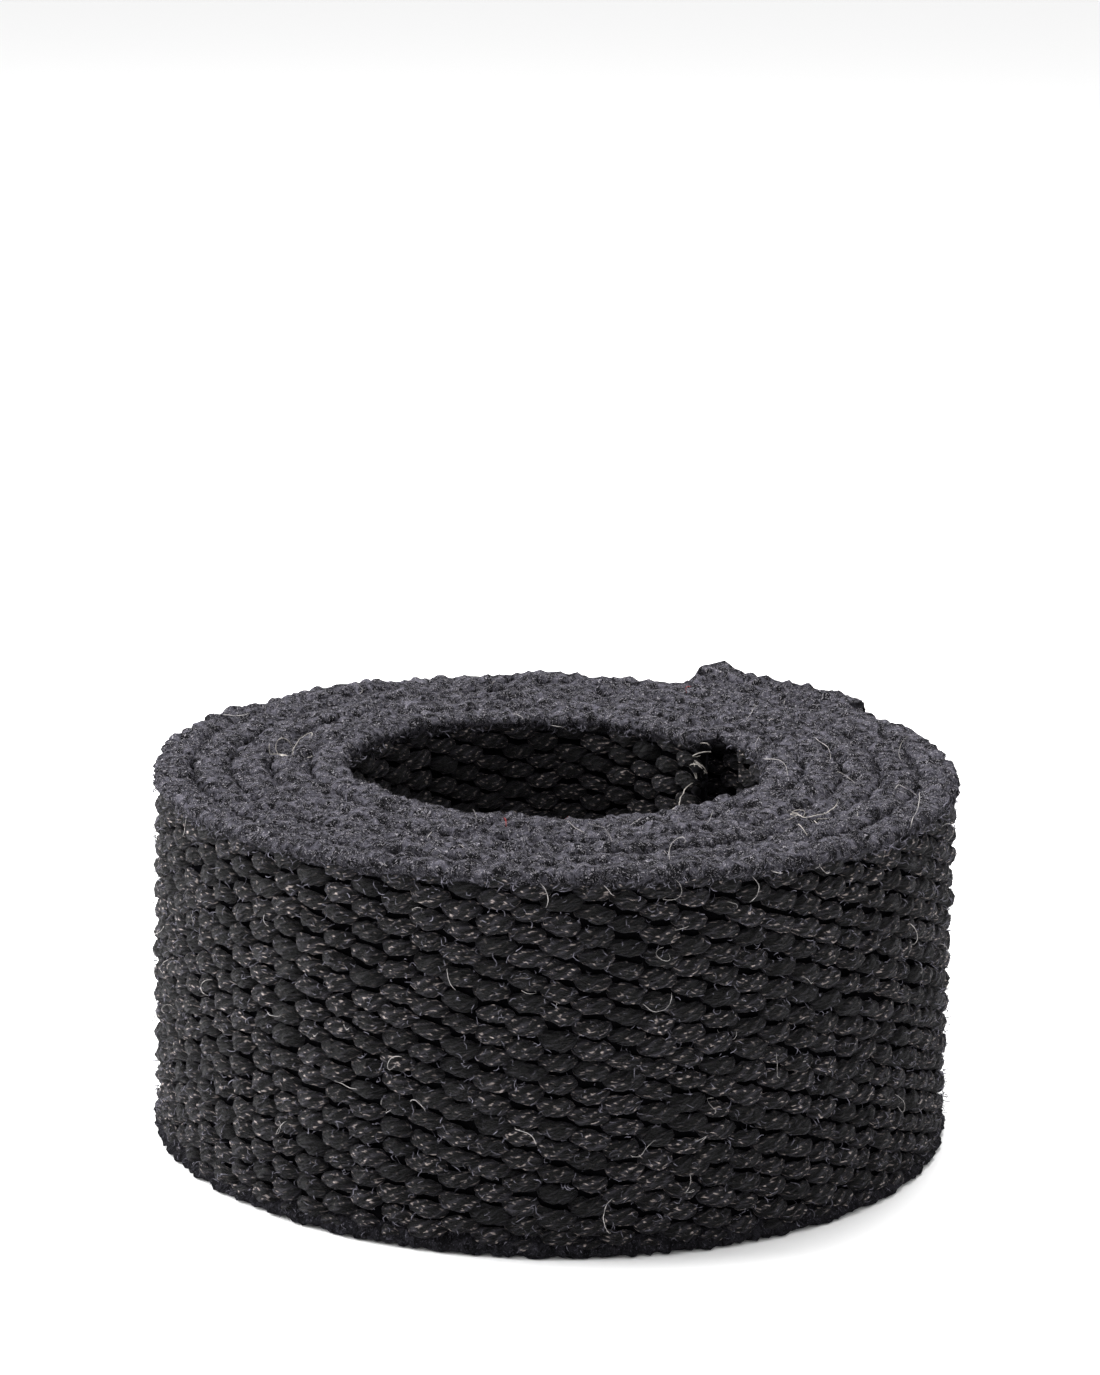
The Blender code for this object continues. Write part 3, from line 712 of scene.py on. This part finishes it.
# The felt on the webbing.
# Rubbing has raised a nap of short loose fibres over the edges and faces. The cloth has picked
# up pale lint and a few red fibres, and threads are snagged on its upper edge at three places.
NAP_ON_EDGES = 9500
NAP_ON_FACE = 5600
LINT = 110
RED_FIBRES = 6
SNAG_ANGLES = (1348, 851, 491)
SNAG_THREADS = (8, 4, 3)
SNAG_SPREAD = 0.0016
SNAG_RISE = 0.0002
SNAG_LENGTHS = (0.004, 0.011)
SNAG_CURL, SNAG_WAVER = 4.5, 3.5
NAP_RADIUS = 0.000045
LINT_RADIUS = 0.000032
NAP_ROOT, NAP_REACH = 0.0002, 0.001
NAP_STRAY = 0.0014
NAP_CURL, NAP_WAVER = 2.6, 1.6
CROWN_DEPTH = 0.0005
CROWN_SHARE = 0.9
UPPER_EDGE = (0.93, 1.0)
EDGE_NAP_LENGTHS = (0.0006, 0.0019)
FACE_NAP_LENGTHS = (0.0006, 0.0017)
EDGE_LINT_LENGTHS = (0.002, 0.008)
FACE_LINT_LENGTHS = (0.002, 0.007)
RED_LENGTHS = (0.003, 0.005)
LINT_STEPS, LINT_SIDES = 12, 4


def nap(name, strip, count, across, side, along, length, radius, finish, seed, steps=4, sides=3):
    """Loose fibres standing on the webbing at places across it, on one side and along it."""
    rng = np.random.default_rng(seed)
    across = rng.uniform(*across, count) * webbing_width / 2
    side = rng.choice(side, count)
    along = rng.uniform(*along, count)
    depth, level, out, over = face_section(across, side)
    crown = np.abs(across) > webbing_width / 2 - CROWN_DEPTH
    depth = np.where(crown, rng.uniform(-1.0, 1.0, count) * half_thickness * CROWN_SHARE, depth)
    roots = strip.points(along, depth - NAP_ROOT * out, level - NAP_ROOT * over)
    outer = strip.points(along, depth + out * NAP_REACH, level + over * NAP_REACH)
    ways = (outer - roots) + rng.normal(0.0, NAP_STRAY, roots.shape)
    lengths = rng.uniform(*length, count)
    paths = curls(roots, ways, lengths, steps, NAP_CURL, NAP_WAVER, rng)
    paths[..., 2] = np.maximum(paths[..., 2], radius)
    return tubes(name, paths, radius * rng.uniform(0.7, 1.4, count), sides, finish)


dark_fibre = loose_cotton("dark_nap", grey(0.010), grey(0.20))
lint_fibre = loose_cotton("pale_lint", (0.20, 0.19, 0.19, 1.0), (0.55, 0.52, 0.51, 1.0))
red_fibre = loose_cotton("red_fibre", (0.25, 0.02, 0.02, 1.0), (0.45, 0.05, 0.04, 1.0))
whole = (0.0, roll_strip.length)
outer_turn = (0.0, turn_length)
edge_nap = nap(
    "roll_edge_nap", roll_strip, NAP_ON_EDGES, UPPER_EDGE, (-1, 1), whole, EDGE_NAP_LENGTHS,
    NAP_RADIUS, dark_fibre, 31,
)
face_nap = nap(
    "roll_face_nap", roll_strip, NAP_ON_FACE, (-1.0, 1.0), (1,), outer_turn, FACE_NAP_LENGTHS,
    NAP_RADIUS, dark_fibre, 32,
)
edge_lint = nap(
    "roll_edge_lint", roll_strip, LINT, UPPER_EDGE, (-1, 1), whole, EDGE_LINT_LENGTHS,
    LINT_RADIUS, lint_fibre, 33, LINT_STEPS, LINT_SIDES,
)
face_lint = nap(
    "roll_face_lint", roll_strip, LINT, (-0.9, 1.0), (1,), outer_turn, FACE_LINT_LENGTHS,
    LINT_RADIUS, lint_fibre, 34, LINT_STEPS, LINT_SIDES,
)
red_lint = nap(
    "roll_red_fibres", roll_strip, RED_FIBRES, (0.95, 1.0), (1,), whole, RED_LENGTHS,
    LINT_RADIUS, red_fibre, 35, LINT_STEPS, LINT_SIDES,
)
rng = np.random.default_rng(36)
snags = np.repeat(SNAG_ANGLES, SNAG_THREADS)
where = roll_strip.run[snags - int(TAIL_ROOT_ANGLE)]
where = where + rng.normal(0.0, SNAG_SPREAD, len(snags))
out = rng.uniform(-0.5, 0.5, len(snags)) * half_thickness
roots = roll_strip.points(where, out, webbing_width + SNAG_RISE)
ways = rng.normal(0.0, 1.0, roots.shape) * (1.0, 1.0, 0.25) + (0.0, 0.0, 0.12)
lengths = rng.uniform(*SNAG_LENGTHS, len(snags))
paths = curls(roots, ways, lengths, 18, SNAG_CURL, SNAG_WAVER, rng)
paths[..., 2] = np.maximum(paths[..., 2], webbing_width + SNAG_RISE)
snagged = tubes("roll_snagged_threads", paths, np.full(len(snags), LINT_RADIUS * 1.5), 4, pale)
loose_fibres = [edge_nap, face_nap, edge_lint, face_lint, red_lint, snagged]
for piece in loose_fibres:
    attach(piece, "roll")

# The buckle end of the webbing.
# The outer end is gathered between the buckle's cheeks, passes round the anchor bar and is
# folded back on itself, where it is sewn down a little askew so that one corner stands up.
FLAP_LENGTH = 0.0335
FLAP_DROP_LENGTH = 0.0165
SPREAD_START = 0.0050
SPREAD_LENGTH = 0.0033
LOOP_LOW = 0.0023
LOOP_WIDTH = 0.0436
CORNER_RISE = 0.0018
CORNER_FADE_START = 0.0045
CORNER_FADE_END = 0.0145
ROOT_STATIONS, LOOP_STATIONS, FLAP_STATIONS = 90, 40, 60
COVERED_STATIONS = 40
TAIL_NAP = 420
TAIL_LINT = 24
TAIL_LINT_LENGTHS = (0.002, 0.006)
BEND_ANGLE = 13.0

anchor_radius = centre_radius(ANCHOR_ANGLE)


def strip_edges(past, rise):
    """Edge heights at a distance past the anchor bar, where the full width rides up by a rise."""
    share = ease((past - SPREAD_START) / SPREAD_LENGTH)
    low = LOOP_LOW + (rise - LOOP_LOW) * share
    return low, low + LOOP_WIDTH + (webbing_width - LOOP_WIDTH) * share


def buckle_end():
    """The webbing from the tail's root to the bar, round it, and back to the flap's raw end."""
    root = TAIL_ROOT_ANGLE - math.degrees(LAYER_GAP / centre_radius(TAIL_ROOT_ANGLE))
    angle = np.linspace(root, ANCHOR_ANGLE, ROOT_STATIONS)
    outward = compass(angle)
    first = roll_axis + outward * centre_radius(angle)[:, None]
    first_edges = strip_edges(np.radians(angle - ANCHOR_ANGLE) * anchor_radius, 0.0)
    turn = ANCHOR_ANGLE + np.linspace(0.0, 180.0, LOOP_STATIONS)[1:-1]
    inward = compass(turn)
    loop = anchor - inward * loop_radius
    past = np.linspace(0.0, FLAP_LENGTH, FLAP_STATIONS)
    flap_angle = ANCHOR_ANGLE + np.degrees(past / anchor_radius)
    drop = ease(past / FLAP_DROP_LENGTH)
    radius = centre_radius(flap_angle) + 2 * loop_radius + (pitch - 2 * loop_radius) * drop
    flap = roll_axis + compass(flap_angle) * radius[:, None]
    ahead = np.gradient(flap, axis=0)
    away = np.stack([ahead[:, 1], -ahead[:, 0]], axis=-1)
    away /= np.linalg.norm(away, axis=-1, keepdims=True)
    fade = ease((past - CORNER_FADE_START) / (CORNER_FADE_END - CORNER_FADE_START))
    flap_edges = strip_edges(past, CORNER_RISE * (1 - fade))
    middle = np.concatenate([first, loop, flap])
    outward = np.concatenate([outward, inward, away])
    low = np.concatenate([first_edges[0], np.full(len(turn), LOOP_LOW), flap_edges[0]])
    loop_high = np.full(len(turn), LOOP_LOW + LOOP_WIDTH)
    high = np.concatenate([first_edges[1], loop_high, flap_edges[1]])
    strip = Strip(middle, outward, low, high, 1)
    strip.flap_start = strip.run[len(first) + len(loop)]
    return strip


tail_strip = buckle_end()
tail_core = webbing_core("webbing_tail_core", tail_strip, felt, weft_shade_finish, 1)
flap_cover = tail_strip.run[COVERED_STATIONS]
tail_outer = warp_floats("tail_outer_yarns", tail_strip, 1, 0.0, flap_cover, yarn, 41)
tail_stop = tail_strip.length - BARE_END
tail_inner = warp_floats("tail_inner_yarns", tail_strip, -1, 0.0, tail_stop, yarn, 42)
flap_stubs = stubs("flap_end_cut_yarns", tail_strip, 43)
tail_run = (BARE_END, tail_stop)
tail_nap = nap(
    "tail_edge_nap", tail_strip, TAIL_NAP, UPPER_EDGE, (-1, 1), tail_run, EDGE_NAP_LENGTHS,
    NAP_RADIUS, dark_fibre, 44,
)
tail_lint = nap(
    "tail_lint", tail_strip, TAIL_LINT, (-0.9, 1.0), (-1,), tail_run, TAIL_LINT_LENGTHS,
    LINT_RADIUS, lint_fibre, 45, LINT_STEPS, LINT_SIDES,
)
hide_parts("strap_tail")

# The seams of the flap.
# A box and a cross of heavy black thread hold the flap down, and the same thread is zigzagged
# over its raw end. Each stitch lies on the cloth and pulls into it at both ends.
STITCH_LENGTH = 0.0030
STITCH_WIDTH = 0.0009
BOX_START = 0.0135
BOX_LENGTH = 0.0130
BOX_MARGIN = 0.0062
BOX_INSET = 0.0016
ZIGZAGS = 13
ZIGZAG_LENGTH = 0.0044
ZIGZAG_END = 0.0017
ZIGZAG_MARGIN = 0.0034
THREAD_TWIST = -40.0
STITCH_DIVE = 0.00045
STITCH_LIFT = 0.00055


def seam(name, route, finish, seed):
    """Stitches along a route of (distance past the bar, height) on the flap's outer face."""
    rng = np.random.default_rng(seed)
    stretch = (tail_strip.length - tail_strip.flap_start) / FLAP_LENGTH
    middles, leans = [], []
    for start, end in zip(route[:-1], route[1:]):
        start, end = np.array(start), np.array(end)
        count = max(1, round(np.linalg.norm(end - start) / STITCH_LENGTH))
        for step in range(count):
            middles.append(start + (end - start) * (step + 0.5) / count)
            leans.append(math.atan2(end[1] - start[1], start[0] - end[0]))
    middles = np.array(middles)
    count = len(middles)
    shape = {
        "length": STITCH_LENGTH * rng.uniform(0.92, 1.04, count),
        "width": STITCH_WIDTH * rng.uniform(0.92, 1.08, count),
        "depth": STITCH_WIDTH * rng.uniform(0.92, 1.08, count),
        "dive": np.full(count, STITCH_DIVE),
        "lean": np.array(leans) + rng.normal(0.0, 0.04, count),
        "lift": np.full(count, STITCH_LIFT),
        "turn": rng.uniform(0.0, 2 * math.pi, count),
        "tone": rng.uniform(0.0, 1.0, count),
    }
    along = tail_strip.flap_start + middles[:, 0] * stretch
    across = middles[:, 1] - webbing_width / 2
    return spindles(name, tail_strip, -1, along, across, shape, 0.0, finish, rng)


low, high = BOX_MARGIN, webbing_width - BOX_MARGIN
near, far = BOX_START, BOX_START + BOX_LENGTH
box_route = [(near, low), (near, high), (far, high), (far, low), (near, low)]
box_route += [(far - BOX_INSET, high - BOX_INSET), (far - BOX_INSET, low + BOX_INSET)]
box_route += [(near + BOX_INSET, high - BOX_INSET)]
end_route = []
for index in range(ZIGZAGS):
    height = ZIGZAG_MARGIN + (webbing_width - 2 * ZIGZAG_MARGIN) * index / (ZIGZAGS - 1)
    end_route.append((FLAP_LENGTH - ZIGZAG_END - ZIGZAG_LENGTH * (index % 2), height))


def waxed_thread(name):
    """Heavy bonded thread: smooth, tightly laid and a little shiny, darker in the grooves between
    its strands as painted shade.
    """
    finish, wire = new_finish(name)
    lay = wire.chart("yarn", math.radians(THREAD_TWIST), METRES_TO_MM)
    strands = wire.node("TexWave", {"bands_direction": "Y"}, {"Vector": lay, "Scale": 0.9}, 1)
    wire.surface(
        # Painted shade: the colour is darker in the grooves between the strands.
        base_color=wire.mix(strands, grey(0.004), grey(0.028)),
        roughness=0.45 + strands * 0.15,
        normal=wire.bump(strands, 0.00015),
    )
    return finish


thread = waxed_thread("waxed_black_thread")
box_seam = seam("flap_box_seam", box_route, thread, 51)
end_seam = seam("flap_end_seam", end_route, thread, 52)
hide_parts("flap_box_stitch")
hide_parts("flap_end_overcast")

hinge_start = (*(roll_axis + compass(TAIL_ROOT_ANGLE) * root_radius), webbing_width / 2)
bend_end = compass(TAIL_ROOT_ANGLE - BEND_ANGLE) * root_radius
hinge_end = (*(roll_axis + bend_end), webbing_width / 2)
for piece in (tail_core, tail_outer, tail_inner, tail_nap, tail_lint):
    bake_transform(piece)
for piece in (flap_stubs, box_seam, end_seam):
    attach(piece, "tail")

# The buckle.
# Frame and lever are stamped from steel sheet and nickel plated to a satin finish; the bar and
# the cam's pin are turned steel riveted over, and the spring is wound from oiled wire.
EDGE_SOFTENING = 0.00022
SOFTENED_ANGLE = 40.0
WELD_DISTANCE = 0.00001


def metal(name, colour, rough, grain, wear):
    """Plated or bare steel: fine grain, faint clouds and small scratches."""
    finish, wire = new_finish(name)
    place = wire.node("TexCoord", {}, {}, 3)
    drawn = wire.node("Mapping", {}, {"Vector": place, "Scale": (grain, grain, grain * 12)})
    lines = wire.noise(drawn, 1.0, 3.0, 0.6)
    clouds = wire.noise(place, 160.0, 4.0, 0.6)
    askew = {"Vector": place, "Rotation": (0.7, 0.4, 0.9), "Scale": (900.0, 60.0, 900.0)}
    scratched = wire.node("Mapping", {}, askew)
    scratches = wire.band(wire.noise(scratched, 1.0, 1.0, 0.5, 0.3), 0.68, 0.74)
    dull = tuple(value * 0.55 for value in colour)
    shade = wire.mix(wire.band(clouds, 0.35, 0.70) * wear, (*colour, 1.0), (*dull, 1.0))
    roughness = rough + wire.band(clouds, 0.3, 0.7) * 0.14 + lines * 0.08 + scratches * 0.15
    wire.surface(
        base_color=shade,
        metallic=1.0,
        roughness=roughness,
        normal=wire.bump(lines * 0.7 + scratches * -0.5, 0.00004),
    )
    return finish


nickel = metal("satin_nickel", (0.27, 0.265, 0.25), 0.32, 500.0, 0.4)
turned = metal("turned_steel", (0.24, 0.24, 0.235), 0.34, 300.0, 0.4)
oiled = metal("oiled_spring_wire", (0.16, 0.16, 0.17), 0.34, 300.0, 0.6)
coats = {"buckle_frame": nickel, "cam_lever": nickel, "anchor_bar": turned, "cam_pin": turned}
coats["cam_spring"] = oiled
for node, coat in coats.items():
    steel = frame["nodes"][node]
    steel.data.materials.clear()
    steel.data.materials.append(coat)
    if coat is nickel:
        joined = steel.modifiers.new("joined", "WELD")
        joined.merge_threshold = WELD_DISTANCE
        softened = steel.modifiers.new("softened", "BEVEL")
        softened.width = EDGE_SOFTENING
        softened.segments = 2
        softened.limit_method = "ANGLE"
        softened.angle_limit = math.radians(SOFTENED_ANGLE)

# The table, the light and the camera.
# The roll stands on a plain white table in soft white light, and is seen from a little above.
FLOOR_SIZE = 8.0
CAMERA_BACK = 0.514
CAMERA_UP = 0.185
CAMERA_DIP = 13.5
CAMERA_ROLL = 1.1
CAMERA_SHIFT = -0.0014
CAMERA_TURN = -0.18
LENS = 100.4
FLOOR_GAP = 0.0002
OVERHEAD_SIZE, OVERHEAD_POWER = 0.5, 16.0
WINDOW_SIZE, WINDOW_POWER = 0.7, 22.0

floor_mesh = bpy.data.meshes.new("table_top")
reach = FLOOR_SIZE / 2
corners = [(-reach, -reach), (reach, -reach), (reach, reach), (-reach, reach)]
floor_mesh.from_pydata([(*corner, 0.0) for corner in corners], [], [(0, 1, 2, 3)])
floor = bpy.data.objects.new("table_top", floor_mesh)
floor.location.z = -FLOOR_GAP
bpy.context.scene.collection.objects.link(floor)
white, wire = new_finish("white_table")
wire.surface(base_color=(0.9, 0.9, 0.9, 1.0), roughness=0.9)
floor_mesh.materials.append(white)

world = bpy.data.worlds.new("white_room")
world.use_nodes = True
world.node_tree.nodes["Background"].inputs["Color"].default_value = (1.0, 1.0, 1.0, 1.0)
world.node_tree.nodes["Background"].inputs["Strength"].default_value = 1.0
bpy.context.scene.world = world


def soft_light(name, place, aim, size, power):
    """A square studio light at a place, turned towards an aim."""
    light = bpy.data.lights.new(name, "AREA")
    light.shape = "SQUARE"
    light.size = size
    light.energy = power
    lamp = bpy.data.objects.new(name, light)
    lamp.location = place
    lamp.rotation_euler = (Vector(aim) - Vector(place)).to_track_quat("-Z", "Y").to_euler()
    bpy.context.scene.collection.objects.link(lamp)
    return lamp


middle = (0.0, 0.0, 0.0)
soft_light("overhead_light", (0.0, 0.20, 0.9), middle, OVERHEAD_SIZE, OVERHEAD_POWER)
soft_light("window_light", (-0.9, 0.15, 0.45), middle, WINDOW_SIZE, WINDOW_POWER)

camera_data = bpy.data.cameras.new("camera")
camera_data.lens = LENS
camera_data.sensor_width = 36.0
camera_data.clip_start = 0.01
camera = bpy.data.objects.new("camera", camera_data)
camera.location = (roll_axis[0] + CAMERA_SHIFT, roll_axis[1] - CAMERA_BACK, CAMERA_UP)
level = Euler((math.radians(90.0 - CAMERA_DIP), 0.0, math.radians(CAMERA_TURN)))
roll = Euler((0.0, 0.0, math.radians(CAMERA_ROLL)))
camera.rotation_euler = (level.to_matrix() @ roll.to_matrix()).to_euler()
bpy.context.scene.collection.objects.link(camera)
bpy.context.scene.camera = camera
bpy.context.scene.view_settings.view_transform = "Standard"
